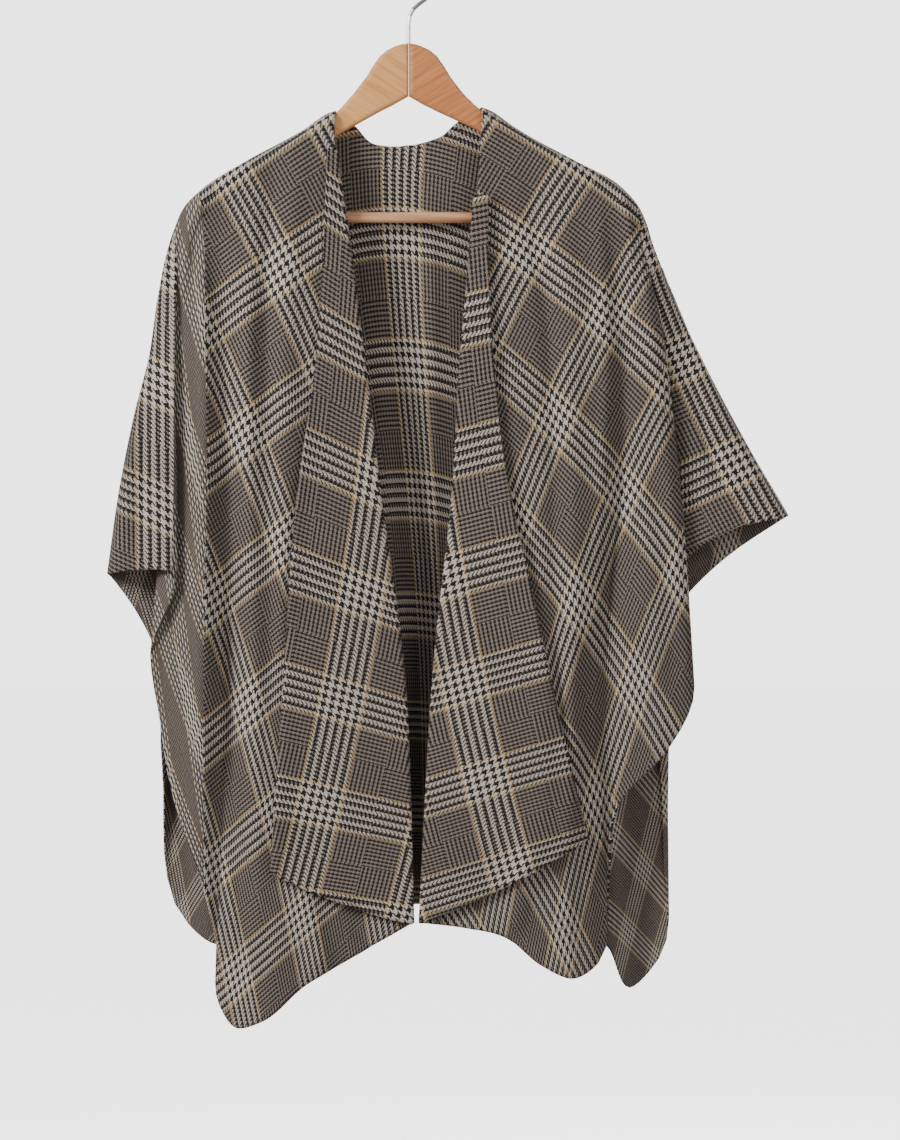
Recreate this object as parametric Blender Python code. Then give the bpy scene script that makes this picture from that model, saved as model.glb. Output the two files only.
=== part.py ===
"""An open-front checked shawl, hung on a flat wooden hanger with a round bar and a wire hook.

The shawl is one rectangle of wool cloth, slit from the middle of its front hem up to the neck. It
hangs over the two wings of the hanger, falls past their ends as two short sleeves, and both edges
of the slit are turned back as lapels.

The tables are read off a front view at full size: across and down are millimetres from the top
left corner of that drawing, and forward is millimetres in front of the hanger's middle plane. The
origin is the inner top of the hook, where it rests on a rail. The front faces -Y.
"""

import math
from collections import namedtuple

import bmesh
import bpy
import numpy as np
from mathutils import Vector
from mathutils.bvhtree import BVHTree

# Driving sizes, in metres
MM = 0.001
CLOTH_THICK = 2.0 * MM
WING_THICK = 10.0 * MM
WING_ROUND = 4.0 * MM
BAR_DIAMETER = 11.0 * MM
WIRE_DIAMETER = 4.0 * MM

# Sizes on the drawing, in millimetres
DRAWING_MIDDLE = 409.0
DRAWING_REST = -35.0
SEAM_GAP = 0.3
CREST_ROUND = 10.0
CREST_STEPS = (0.0, 1.0, 3.5, 8.0, 14.0)
FOLD_STATIONS = 24
FRONT_ROWS = 18
BACK_ROWS = 12
WING_SEAT = 1.9
WING_DEEP = 20.0
ROLL_RADIUS = 3.2
ROLL_ANGLES = (0, 45, 90, 135, 180)
LAPEL_STAND_OFF = 8.0
LAPEL_COLUMNS = 7
VIEW_FORWARD = 500.0

# The crest is where the cloth bends from front to back: along the wing, then down the sleeve's fold
LEFT_CREST = (
    (335, 111.5),
    (320, 121),
    (290, 138.5),
    (247, 161.5),
    (201, 191),
    (186, 206),
    (173, 235),
    (159, 295),
    (150, 355),
    (135, 415),
    (120, 490),
    (108, 574),
)
RIGHT_CREST = (
    (482, 108),
    (500, 119),
    (530, 137.5),
    (575, 161.5),
    (620, 187),
    (636, 204),
    (654, 250),
    (671, 295),
    (699, 355),
    (730, 415),
    (755, 460),
    (788, 516),
)
# The neck edge of the back, from the left crest to the right one
NECK_EDGE = (
    (335, 111.5),
    (345, 117),
    (356, 126),
    (370, 141),
    (389, 147),
    (408, 144),
    (425, 144),
    (438, 138),
    (455, 123),
    (468, 113),
    (482, 108),
)

# Where columns stand between two lines of cloth, as shares of the way: close together near the
# first line, near the last one, or evenly in two halves
NEAR_FIRST = (0, 0.04, 0.12, 0.3, 0.6)
NEAR_LAST = (0, 0.4, 0.7, 0.88, 0.96)
HALVES = (0, 0.5)
WHOLE = (0,)

# One line of cloth for each fold. It starts at its place along the crest, in millimetres from the
# neck, and runs to the hem through the places given. A sleeve's fold is the crest itself, so it has
# no places of its own. The last column says how the columns stand up to the next line.
Line = namedtuple("Line", "name crest across down forward columns")
LEFT_FRONT = (
    Line("roll", 0, (335, 351, 363, 377, 400, 411), (135, 273, 369, 490, 660, 922),
         (11, 16, 20, 24, 27, 27), HALVES),
    Line("lapel", 20, (318, 322, 335, 352, 362), (160, 300, 480, 650, 950), (12, 18, 25, 30, 30), HALVES),
    Line("chest", 48, (292, 288, 292, 300, 306), (190, 320, 480, 650, 983), (13, 20, 28, 33, 34), HALVES),
    Line("shoulder", 83, (262, 258, 262, 266, 262), (200, 320, 480, 650, 1019), (13, 22, 31, 36, 38), HALVES),
    Line("tail", 113, (240, 241, 246, 248, 238), (215, 320, 480, 650, 1025), (13, 22, 29, 30, 30), HALVES),
    Line("valley", 132, (217, 221, 229, 234, 221), (215, 320, 450, 640, 1004), (11, 14, 15, 14, 20), WHOLE),
    Line("valley side", 144, (210, 213, 219, 222, 217), (220, 320, 470, 640, 942), (12, 18, 18, 16, 15), HALVES),
    Line("ridge", 156, (204, 206, 208, 205, 205), (225, 320, 480, 640, 888), (13, 26, 30, 30, 24), HALVES),
    Line("ridge side", 169, (192, 188, 186, 181, 172), (235, 320, 450, 600, 787), (12, 18, 18, 18, 18), WHOLE),
    Line("under sleeve", 181, (184, 178, 175, 169, 161), (245, 320, 430, 560, 722), (11, 13, 13, 13, 14), WHOLE),
    Line("turn", 192, (180, 173, 169, 162, 152), (250, 320, 410, 530, 655), (11, 14, 15, 15, 16), HALVES),
    Line("sleeve edge", 203, (177, 175.5, 175, 175, 173), (255, 320, 400, 480, 572), (12, 20, 26, 28, 30), HALVES),
    Line("sleeve", 231, (169, 163, 155, 147, 139), (290, 345, 410, 480, 570), (10, 16, 22, 25, 26), NEAR_LAST),
    Line("sleeve fold", 262, None, None, (10, 24), None),
)
RIGHT_FRONT = (
    Line("roll", 0, (481, 478, 470, 463, 457, 438, 423), (134, 181, 288, 369, 480, 660, 921),
         (11, 13, 17, 20, 23, 26, 27), HALVES),
    Line("lapel", 20, (500, 506, 500, 486, 466), (160, 300, 480, 650, 926), (12, 18, 25, 29, 30), HALVES),
    Line("chest", 48, (528, 545, 540, 528, 505), (185, 320, 480, 650, 935), (12, 20, 27, 32, 33), HALVES),
    Line("shoulder", 82, (560, 578, 575, 562, 541), (200, 320, 480, 650, 963), (13, 22, 30, 34, 35), HALVES),
    Line("tail", 112, (590, 600, 596, 584, 572), (212, 320, 480, 640, 976), (13, 22, 28, 30, 32), HALVES),
    Line("valley", 130, (610, 619, 616, 599, 598), (218, 320, 470, 640, 961), (11, 14, 14, 13, 16), WHOLE),
    Line("valley side", 141, (621, 630, 627, 612, 608), (225, 320, 460, 620, 885), (12, 18, 18, 15, 13), HALVES),
    Line("ridge inside", 151, (629, 638, 643, 640, 618), (232, 320, 450, 590, 802), (13, 24, 30, 32, 30), WHOLE),
    Line("ridge", 161, (635, 648, 660, 669, 662), (240, 320, 430, 560, 754), (14, 28, 34, 36, 34), WHOLE),
    Line("ridge outside", 172, (640, 655, 669, 682, 691), (248, 320, 430, 560, 700), (13, 24, 29, 31, 30), WHOLE),
    Line("turn", 182, (644, 659, 672, 683, 687), (256, 320, 420, 530, 640), (11, 14, 16, 17, 18), HALVES),
    Line("sleeve edge", 196, (650, 665, 678, 685, 684), (268, 325, 400, 480, 562), (10, 14, 17, 18, 18), HALVES),
    Line("sleeve", 228, (664, 684, 700, 714, 727), (300, 355, 410, 465, 532), (10, 16, 20, 23, 25), NEAR_LAST),
    Line("sleeve fold", 262, None, None, (10, 22), None),
)
# The back's lines run from the left sleeve to the right one. Places on its left are negative, and
# they count from the middle of the neck edge, which is this long on either side.
NECK_HALF = 85.0
BACK = (
    Line("left sleeve fold", -347, None, None, (10, 14), NEAR_FIRST),
    Line("left sleeve", -315, (166, 153, 142, 131), (285, 400, 500, 605), (10, 12, 14, 14), HALVES),
    Line("left sleeve edge", -282, (177, 169, 159, 150), (285, 420, 540, 640), (11, 13, 14, 14), WHOLE),
    Line("left side", -260, (186, 178, 170, 161), (280, 440, 620, 765), (12, 14, 15, 16), HALVES),
    Line("left tail", -235, (206, 197, 190, 187), (300, 500, 700, 926), (14, 24, 28, 26), HALVES),
    Line("left valley", -207, (232, 222, 216, 213), (300, 500, 700, 945), (12, 14, 14, 16), HALVES),
    Line("left ridge", -170, (262, 258, 256, 258), (300, 500, 700, 935), (14, 24, 30, 32), HALVES),
    Line("left inner valley", -130, (298, 298, 300, 303), (300, 500, 700, 922), (12, 14, 16, 18), HALVES),
    Line("left of neck", -85, (338, 342, 346, 350), (300, 500, 700, 913), (12, 20, 26, 28), NEAR_FIRST),
    Line("left neck fold", -38, (380, 381, 383, 386), (300, 480, 700, 908), (11, 12, 14, 16), HALVES),
    Line("middle", 0, (410, 412, 416, 418), (300, 480, 700, 906), (12, 18, 24, 26), HALVES),
    Line("right neck fold", 38, (445, 446, 450, 452), (300, 480, 700, 908), (11, 12, 14, 16), NEAR_LAST),
    Line("right of neck", 85, (480, 482, 486, 490), (300, 500, 700, 911), (12, 20, 26, 28), HALVES),
    Line("right inner valley", 130, (524, 528, 530, 532), (300, 500, 700, 918), (12, 14, 16, 18), HALVES),
    Line("right ridge", 170, (560, 565, 568, 570), (300, 500, 700, 930), (14, 24, 30, 32), HALVES),
    Line("right valley", 207, (596, 603, 606, 606), (300, 500, 700, 946), (12, 14, 14, 16), HALVES),
    Line("right tail", 235, (620, 626, 628, 630), (300, 500, 700, 990), (14, 22, 24, 24), HALVES),
    Line("right tail side", 257, (642, 652, 656, 660), (300, 500, 700, 960), (12, 16, 20, 20), WHOLE),
    Line("right side", 277, (660, 672, 672, 664), (300, 460, 620, 850), (12, 14, 16, 16), WHOLE),
    Line("right sleeve edge", 295, (666, 676, 682, 684), (300, 400, 500, 600), (12, 14, 14, 14), HALVES),
    Line("right sleeve", 318, (682, 702, 716, 724), (320, 420, 500, 560), (11, 13, 14, 14), NEAR_LAST),
    Line("right sleeve fold", 347, None, None, (10, 14), None),
)
# A sleeve's drop parts from its front where the cloth is flat, one column past this line
SLEEVE_FROM = "sleeve edge"

# The free edges of the lapels, from the neck to the hem
LEFT_LAPEL_EDGE = ((328, 150), (326, 199), (323, 273), (316, 369), (300, 480), (285, 680), (272, 870))
RIGHT_LAPEL_EDGE = ((488, 195), (489, 298), (494, 369), (507, 480), (525, 560), (555, 700), (587, 838))
LAPEL_BOW = 5.0

# The upper edge of a wing where it shows: millimetres out from the hanger's middle, and down. The
# hanger hangs a little askew, so the two sides differ next to the cloth.
WING_MIDDLE = 408.6
WING_NECK = ((0, 43.4), (7, 44.2), (14, 46.5), (22, 50.5), (29, 56.4), (36, 66.5), (42.3, 77))
LEFT_WING_SIDE = ((55, 93.5), (68, 108.4), (72.5, 112.8))
RIGHT_WING_SIDE = ((55, 93.5), (65, 103.5), (72.5, 109.8))
WING_UNDER_NECK = ((0, 96.5), (14, 104.5), (28, 111.5))
WING_ALONG_CREST = (4, 30, 60, 90, 120, 145, 160)
# The lower edge follows the upper one from this place among its points up to the last but two
WING_LOWER_FROM = 10
# The wing's end, which holds the bar: inwards and down from the last place along the crest
WING_END = ((-6, 9), (-8, 18), (-5, 28), (2, 36.5), (10, 37.5), (13, 35), (13, 15))
LEFT_BAR_DOWN = 219.0
RIGHT_BAR_DOWN = 216.0

# The hook: the stem rises from the middle of the wings, bends aside and runs round the loop
STEM = ((408.6, 43.1), (408.6, 33), (408.6, 24), (409.6, 16), (413, 9.5), (418.5, 4.5))
LOOP_CENTRE = (409.0, -15.0)
LOOP_RADIUS = 22.0
LOOP_ANGLES = range(-40, 201, 15)

# Colour, roughness and metallic value of each finish
WOOL = ((0.115, 0.09, 0.075, 1.0), 0.9, 0.0)
WOOD = ((0.72, 0.36, 0.14, 1.0), 0.45, 0.0)
STEEL = ((0.45, 0.45, 0.46, 1.0), 0.3, 1.0)


def finish_of(name, finish):
    """A plain material with the part's colour, roughness and metallic value."""
    colour, roughness, metallic = finish
    material = bpy.data.materials.new(name)
    material.use_nodes = True
    shader = material.node_tree.nodes["Principled BSDF"]
    shader.inputs["Base Color"].default_value = colour
    shader.inputs["Roughness"].default_value = roughness
    shader.inputs["Metallic"].default_value = metallic
    material.diffuse_color = colour
    return material


def add_part(group, name, data, finish):
    """Put a mesh or curve in the collection as a named part with its own material."""
    part = bpy.data.objects.new(name, data)
    group.objects.link(part)
    data.materials.append(finish_of(name + "_finish", finish))
    return part


def place(drawn):
    """The place in space, in metres, of a drawn point: across, down and forward."""
    across, down, forward = drawn
    return Vector(((across - DRAWING_MIDDLE) * MM, -forward * MM, (DRAWING_REST - down) * MM))


def through(knots, values):
    """A smooth curve through rows of values, one at each knot, as a function of the knot."""
    knots, values = np.array(knots, float), np.array(values, float)
    slopes = np.gradient(values, knots, axis=0)

    def at(where):
        i = int(np.clip(np.searchsorted(knots, where) - 1, 0, len(knots) - 2))
        width = knots[i + 1] - knots[i]
        s = (where - knots[i]) / width
        here = (1 + 2 * s) * (1 - s) ** 2 * values[i] + s * (1 - s) ** 2 * width * slopes[i]
        there = s * s * (3 - 2 * s) * values[i + 1] - s * s * (1 - s) * width * slopes[i + 1]
        return here + there

    return at


def lengths_along(points):
    """How far along its straight runs each point of a line stands."""
    steps = np.linalg.norm(np.diff(np.array(points, float), axis=0), axis=1)
    return np.concatenate([[0.0], np.cumsum(steps)])


def route(points):
    """A smooth curve through drawn points, as a function of the distance along it, and its length."""
    along = lengths_along([p[:2] for p in points])
    return through(along, points), along[-1]


def distance_to(point, line):
    """How far a drawn point is from a line of straight runs."""
    starts, runs = line[:-1], np.diff(line, axis=0)
    share = np.clip(((point - starts) * runs).sum(1) / (runs * runs).sum(1), 0, 1)
    return float(np.linalg.norm(starts + share[:, None] * runs - point, axis=1).min())


class Panel:
    """A hanging panel of cloth: a grid of places, with rows down from the crest to the hem.

    top_at gives the drawn point at a place along the crest, ends gives the crest's far end on each
    side that has a sleeve, and side is 1 for a front and -1 for the back.
    """

    def __init__(self, lines, top_at, ends, far_rows, side):
        self.lines, self.top_at, self.side = lines, top_at, side
        self.rows = len(CREST_STEPS) + far_rows
        routes = [self.line_route(line, ends) for line in lines]
        self.grid, self.crest_places = [], []
        for r in range(self.rows):
            last = CREST_STEPS[-1]
            if r < len(CREST_STEPS):
                downs = [CREST_STEPS[r]] * len(routes)
            else:
                share = (r + 1 - len(CREST_STEPS)) / far_rows
                downs = [last + (length - last) * share for _, length in routes]
            self.grid.append(self.row_through([at(d) for (at, _), d in zip(routes, downs)], r))
        self.grid = np.array(self.grid)
        self.bend_over_crest()
        self.directions = self.outward()

    def line_route(self, line, ends):
        """The route of one line from the crest to the hem."""
        if line.across is None:
            far_end = ends[0] if line is self.lines[0] else ends[1]
            run = np.linspace(line.crest, far_end, FOLD_STATIONS)
            forward = np.interp(np.abs(run), np.abs([line.crest, far_end]), line.forward)
            return route([(*self.top_at(c), f) for c, f in zip(run, forward)])
        top = (*self.top_at(line.crest), line.forward[0])
        return route([top, *zip(line.across, line.down, line.forward)])

    def row_through(self, points, r):
        """One row of the grid, through the lines' points at that height."""
        knots = lengths_along(points)
        across_row = through(knots, points)
        row = []
        for i, line in enumerate(self.lines[:-1]):
            following = self.lines[i + 1]
            for share in line.columns:
                point = across_row(knots[i] + share * (knots[i + 1] - knots[i]))
                crest = line.crest + share * (following.crest - line.crest)
                if r == 0:
                    point[:2] = self.top_at(crest)
                    self.crest_places.append(crest)
                row.append(point)
        row.append(points[-1])
        if r == 0:
            self.crest_places.append(self.lines[-1].crest)
        return row

    def crest_lines(self):
        """The drawn line of the crest on each side of the panel that has one."""
        top, places = self.grid[0, :, :2], np.array(self.crest_places)
        neck = 0.0 if self.side > 0 else NECK_HALF
        found = []
        if self.lines[0].across is None:
            found.append(np.concatenate([self.grid[:0:-1, 0, :2], top[places <= -neck]]))
        found.append(np.concatenate([top[places >= neck], self.grid[1:, -1, :2]]))
        return found

    def bend_over_crest(self):
        """Bring the cloth from its depth round to the middle plane, on a round of its own."""
        crests = self.crest_lines()
        for row in self.grid:
            for point in row:
                off = min(distance_to(point[:2], line) for line in crests)
                bend = math.sqrt(1 - (1 - min(off / CREST_ROUND, 1.0)) ** 2)
                point[2] = self.side * (SEAM_GAP / 2 + point[2] * bend)

    def outward(self):
        """The direction out of the cloth at each place, level with the drawing along the crest."""
        down, along = np.gradient(self.grid, axis=0), np.gradient(self.grid, axis=1)
        out = np.cross(along, down)
        out /= np.linalg.norm(out, axis=2, keepdims=True)
        if out[self.rows // 2, :, 2].mean() * self.side < 0:
            out = -out
        neck = 0.0 if self.side > 0 else NECK_HALF
        on_crest = [(0, c) for c, where in enumerate(self.crest_places) if abs(where) >= neck]
        on_crest += [(r, self.grid.shape[1] - 1) for r in range(self.rows)]
        if self.lines[0].across is None:
            on_crest += [(r, 0) for r in range(self.rows)]
        for r, c in on_crest:
            out[r, c] = self.away_from_cloth(r, c)
        return out

    def away_from_cloth(self, r, c):
        """The direction off the crest in the drawing's plane, at one place on it."""
        last = self.grid.shape[1] - 1
        if r == 0:
            before = self.grid[0, c - 1] if c else self.grid[0 if last else 0, 0]
            after = self.grid[0, c + 1] if c < last else self.grid[1, last]
            if c == 0 and self.lines[0].across is None:
                before = self.grid[1, 0]
        else:
            before = self.grid[r - 1, c]
            after = self.grid[min(r + 1, self.rows - 1), c]
        run = after[:2] - before[:2]
        normal = np.array([run[1], -run[0]]) / np.linalg.norm(run)
        inside = self.grid[self.rows // 3, self.grid.shape[1] // 2, :2]
        if normal @ (inside - self.grid[r, c, :2]) > 0:
            normal = -normal
        return np.array([normal[0], normal[1], 0.0])

    def column_of(self, name):
        """The column where the named line stands."""
        count = 0
        for line in self.lines:
            if line.name == name:
                return count
            count += len(line.columns)
        return count

    def stretch(self, first, last, parted_first=False, parted_last=False):
        """Places and directions from one column to another, drawn in a little where it is parted."""
        places = self.grid[:, first : last + 1].copy()
        directions = self.directions[:, first : last + 1]
        for parted, edge, inner in ((parted_first, 0, 1), (parted_last, -1, -2)):
            if parted:
                run = places[:, inner] - places[:, edge]
                inwards = np.cross(np.gradient(places[:, edge], axis=0), directions[:, edge])
                inwards *= np.sign((inwards * run).sum(1, keepdims=True))
                places[:, edge] += inwards / np.linalg.norm(inwards, axis=1, keepdims=True) * SEAM_GAP / 2
        return places, directions


def cloth_wall(places, directions):
    """A closed wall of cloth about a grid of places, half its thickness to either side."""
    rows, columns = places.shape[:2]
    mesh = bpy.data.meshes.new("cloth")
    wall = bmesh.new()
    half = CLOTH_THICK / MM / 2
    sheets = []
    for offset in (half, -half):
        moved = places + directions * offset
        sheets.append([[wall.verts.new(place(p)) for p in row] for row in moved])
    for sheet in sheets:
        for r in range(rows - 1):
            for c in range(columns - 1):
                wall.faces.new((sheet[r][c], sheet[r + 1][c], sheet[r + 1][c + 1], sheet[r][c + 1]))
    rim = [(0, c) for c in range(columns)] + [(r, columns - 1) for r in range(1, rows)]
    rim += [(rows - 1, c) for c in range(columns - 2, -1, -1)] + [(r, 0) for r in range(rows - 2, 0, -1)]
    for (r, c), (r2, c2) in zip(rim, rim[1:] + rim[:1]):
        wall.faces.new((sheets[0][r][c], sheets[0][r2][c2], sheets[1][r2][c2], sheets[1][r][c]))
    bmesh.ops.recalc_face_normals(wall, faces=wall.faces)
    wall.to_mesh(mesh)
    wall.free()
    mesh.shade_smooth()
    return mesh


def back_tops():
    """The back's top edge as a function of the place along it: crest, neck edge and crest."""
    left_at, left_length = route(LEFT_CREST)
    right_at, right_length = route(RIGHT_CREST)
    neck_at, neck_length = route(NECK_EDGE)

    def at(where):
        if where <= -NECK_HALF:
            return left_at(-where - NECK_HALF)
        if where >= NECK_HALF:
            return right_at(where - NECK_HALF)
        return neck_at((where + NECK_HALF) / (2 * NECK_HALF) * neck_length)

    return at, (-left_length - NECK_HALF, right_length + NECK_HALF)


def lapel(front, edge_points):
    """A turned-back edge: round the roll from the front's inner edge, then flat over the front."""
    corners = [place(p) for p in front.grid.reshape(-1, 3)]
    columns = front.grid.shape[1]
    faces = [
        (r * columns + c, (r + 1) * columns + c, (r + 1) * columns + c + 1, r * columns + c + 1)
        for r in range(front.rows - 1)
        for c in range(columns - 1)
    ]
    surface = BVHTree.FromPolygons(corners, faces)
    edge_at, edge_length = route(edge_points)
    roll, beside, out = front.grid[:, 0], front.grid[:, 1], front.directions[:, 0]
    first = next(r for r in range(front.rows) if roll[r][1] >= edge_points[0][1])
    along = lengths_along(roll[first:])

    grid = []
    for r in range(first, front.rows):
        share = along[r - first] / along[-1]
        edge = edge_at(edge_length * share)
        inwards = roll[r] - beside[r]
        inwards -= out[r] * (inwards @ out[r])
        inwards /= np.linalg.norm(inwards)
        root = roll[r] + inwards * SEAM_GAP
        row = []
        for angle in ROLL_ANGLES:
            turn = math.radians(angle)
            rise = out[r] * (1 - math.cos(turn))
            row.append(root + ROLL_RADIUS * (inwards * math.sin(turn) + rise))
        for c in range(1, LAPEL_COLUMNS + 1):
            across = c / LAPEL_COLUMNS
            drawn = root[:2] * (1 - across) + edge * across
            drawn[1] += LAPEL_BOW * share * 4 * across * (1 - across)
            stand_off = 2 * ROLL_RADIUS * (1 - across) + LAPEL_STAND_OFF * across
            hit = surface.ray_cast(place((*drawn, VIEW_FORWARD)), Vector((0, 1, 0)))[0]
            row.append(np.array([*drawn, stand_off - hit.y / MM]))
        grid.append(row)
    grid = np.array(grid)
    faced = np.cross(np.gradient(grid, axis=1), np.gradient(grid, axis=0))
    faced /= np.linalg.norm(faced, axis=2, keepdims=True)
    if faced[0, 0] @ out[first] < 0:
        faced = -faced
    faced[:, 0] = out[first:]
    return grid, faced


def wing_outline(crest_points, wing_side, outwards):
    """The flat outline of a wing: the neck, the edge under the cloth, the end and the lower edge."""
    crest_at, _ = route(crest_points)
    upper = [np.array([WING_MIDDLE + outwards * out, down]) for out, down in WING_NECK + wing_side]
    upper[0][0] += outwards * SEAM_GAP / 2
    for where in WING_ALONG_CREST:
        run = crest_at(where + 1) - crest_at(where - 1)
        below = np.array([-run[1], run[0]]) / np.linalg.norm(run)
        if below[1] < 0:
            below = -below
        upper.append(crest_at(where) + below * WING_SEAT)
    last = crest_at(WING_ALONG_CREST[-1])
    end = [last + np.array([-outwards * inwards, down]) for inwards, down in WING_END]
    lower = []
    for i in range(len(upper) - 3, WING_LOWER_FROM - 1, -1):
        here, run = upper[i], upper[i + 1] - upper[i]
        below = np.array([-run[1], run[0]]) / np.linalg.norm(run)
        if below[1] < 0:
            below = -below
        lower.append(here + below * WING_DEEP)
    under_neck = [np.array([WING_MIDDLE + outwards * out, down]) for out, down in WING_UNDER_NECK]
    under_neck[0][0] += outwards * SEAM_GAP / 2
    return upper + end + lower + under_neck[::-1]


def add_wing(group, name, outline):
    """A flat board with rounded edges, from its outline."""
    curve = bpy.data.curves.new(name, "CURVE")
    curve.dimensions = "2D"
    curve.fill_mode = "BOTH"
    curve.extrude = WING_THICK / 2 - WING_ROUND
    curve.bevel_depth = WING_ROUND
    curve.bevel_resolution = 2
    curve.offset = -WING_ROUND
    spline = curve.splines.new("POLY")
    spline.points.add(len(outline) - 1)
    for point, (across, down) in zip(spline.points, outline):
        point.co = ((across - DRAWING_MIDDLE) * MM, (DRAWING_REST - down) * MM, 0, 1)
    spline.use_cyclic_u = True
    wing = add_part(group, name, curve, WOOD)
    wing.rotation_euler = (math.pi / 2, 0, 0)
    return wing


def add_bar(group, name, left_end, right_end):
    """The round bar between the inner faces of the wings' ends."""
    start, end = place(left_end), place(right_end)
    bpy.ops.mesh.primitive_cylinder_add(
        vertices=20,
        radius=BAR_DIAMETER / 2,
        depth=(end - start).length,
        location=(start + end) / 2,
        rotation=(0, math.pi / 2, 0),
    )
    bar = bpy.context.object
    bar.name = name
    for collection in list(bar.users_collection):
        collection.objects.unlink(bar)
    group.objects.link(bar)
    bar.data.shade_smooth()
    bar.data.materials.append(finish_of(name + "_finish", WOOD))
    return bar


def add_hook(group, name):
    """The wire: up from the wings, aside, and round the loop that hangs on the rail."""
    points = [(*p, 0) for p in STEM]
    for angle in LOOP_ANGLES:
        turn = math.radians(angle)
        across = LOOP_CENTRE[0] + LOOP_RADIUS * math.cos(turn)
        points.append((across, LOOP_CENTRE[1] - LOOP_RADIUS * math.sin(turn), 0))
    curve = bpy.data.curves.new(name, "CURVE")
    curve.dimensions = "3D"
    curve.bevel_depth = WIRE_DIAMETER / 2
    curve.bevel_resolution = 2
    curve.use_fill_caps = True
    spline = curve.splines.new("POLY")
    spline.points.add(len(points) - 1)
    for point, drawn in zip(spline.points, points):
        point.co = (*place(drawn), 1)
    return add_part(group, name, curve, STEEL)


def build():
    """Make the shawl and its hanger."""
    for thing in list(bpy.data.objects):
        bpy.data.objects.remove(thing)
    group = bpy.data.collections.new("shawl_on_hanger")
    bpy.context.scene.collection.children.link(group)

    for name, lines, crest, edge in (
        ("left", LEFT_FRONT, LEFT_CREST, LEFT_LAPEL_EDGE),
        ("right", RIGHT_FRONT, RIGHT_CREST, RIGHT_LAPEL_EDGE),
    ):
        crest_at, length = route(crest)
        front = Panel(lines, crest_at, (None, length), FRONT_ROWS, 1)
        parting, last = front.column_of(SLEEVE_FROM) + 1, front.grid.shape[1] - 1
        add_part(group, name + "_front_cloth", cloth_wall(*front.stretch(0, parting, False, True)), WOOL)
        add_part(group, name + "_sleeve_drop", cloth_wall(*front.stretch(parting, last, True, False)), WOOL)
        add_part(group, name + "_lapel", cloth_wall(*lapel(front, edge)), WOOL)

    back_at, ends = back_tops()
    back = Panel(BACK, back_at, ends, BACK_ROWS, -1)
    add_part(group, "back_cloth", cloth_wall(back.grid, back.directions), WOOL)

    bar_ends = []
    for name, crest, wing_side, bar_down, outwards in (
        ("left", LEFT_CREST, LEFT_WING_SIDE, LEFT_BAR_DOWN, -1),
        ("right", RIGHT_CREST, RIGHT_WING_SIDE, RIGHT_BAR_DOWN, 1),
    ):
        outline = wing_outline(crest, wing_side, outwards)
        add_wing(group, f"hanger_{name}_wing", outline)
        inner_face = route(crest)[0](WING_ALONG_CREST[-1])[0] - outwards * WING_END[-1][0]
        bar_ends.append((inner_face - outwards * SEAM_GAP, bar_down, 0))
    add_bar(group, "hanger_bar", *bar_ends)
    add_hook(group, "hanger_hook")


build()
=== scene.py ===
"""Looks of the open-front checked shawl on its wooden hanger.

Each stretch of cloth is made again from the same lines as its solid, with closer rows and columns
and with its smaller folds. It carries a map that counts warp threads one way and weft threads the
other, and one woven material draws the check from those counts. The hanger keeps its solids.
"""

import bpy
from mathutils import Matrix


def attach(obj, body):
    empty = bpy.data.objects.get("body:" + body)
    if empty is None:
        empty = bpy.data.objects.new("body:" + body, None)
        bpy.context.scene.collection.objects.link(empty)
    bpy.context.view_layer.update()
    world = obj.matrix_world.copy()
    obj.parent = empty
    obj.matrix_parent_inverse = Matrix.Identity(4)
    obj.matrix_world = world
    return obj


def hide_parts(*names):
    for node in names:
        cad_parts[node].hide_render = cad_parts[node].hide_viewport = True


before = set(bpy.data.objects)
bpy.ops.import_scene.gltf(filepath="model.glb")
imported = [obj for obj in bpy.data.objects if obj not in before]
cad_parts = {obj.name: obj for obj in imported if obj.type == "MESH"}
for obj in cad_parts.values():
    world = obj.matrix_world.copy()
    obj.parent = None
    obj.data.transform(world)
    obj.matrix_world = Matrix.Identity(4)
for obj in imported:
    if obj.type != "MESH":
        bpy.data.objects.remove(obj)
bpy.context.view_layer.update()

import math
from collections import namedtuple

import bmesh
import bpy
import numpy as np
from mathutils import Vector
from mathutils.bvhtree import BVHTree

# The camera stands square to the shawl's front, from far away, and shows as much as the photo does.
FRAME_WIDTH = 0.9
CAMERA_AWAY = 4.5
CAMERA_ACROSS = 0.041
CAMERA_UP = -0.605
SENSOR_WIDTH = 36.0

view = bpy.data.cameras.new("camera")
view.sensor_fit = "HORIZONTAL"
view.sensor_width = SENSOR_WIDTH
view.lens = SENSOR_WIDTH * CAMERA_AWAY / FRAME_WIDTH
camera = bpy.data.objects.new("camera", view)
camera.location = (CAMERA_ACROSS, -CAMERA_AWAY, CAMERA_UP)
camera.rotation_euler = (math.pi / 2, 0, 0)
bpy.context.scene.collection.objects.link(camera)
bpy.context.scene.camera = camera

# The hanger: two flat boards glued together at the middle, one of honey-coloured wood and one of
# reddish wood, with the grain along each. A turned round bar sits in a socket near each end, and a
# bright steel wire hook screws in at the top. These pieces keep their solids.
WING_SLOPE = 32
WING_RINGS = 320
BAR_RINGS = 200
GRAIN_STRETCH = 0.06
HONEY_PALE = (0.86, 0.42, 0.14, 1)
HONEY_DARK = (0.68, 0.28, 0.08, 1)
REDDISH_PALE = (0.68, 0.26, 0.08, 1)
REDDISH_DARK = (0.5, 0.16, 0.045, 1)
BAR_PALE = (0.72, 0.42, 0.22, 1)
BAR_DARK = (0.5, 0.22, 0.1, 1)


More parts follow.
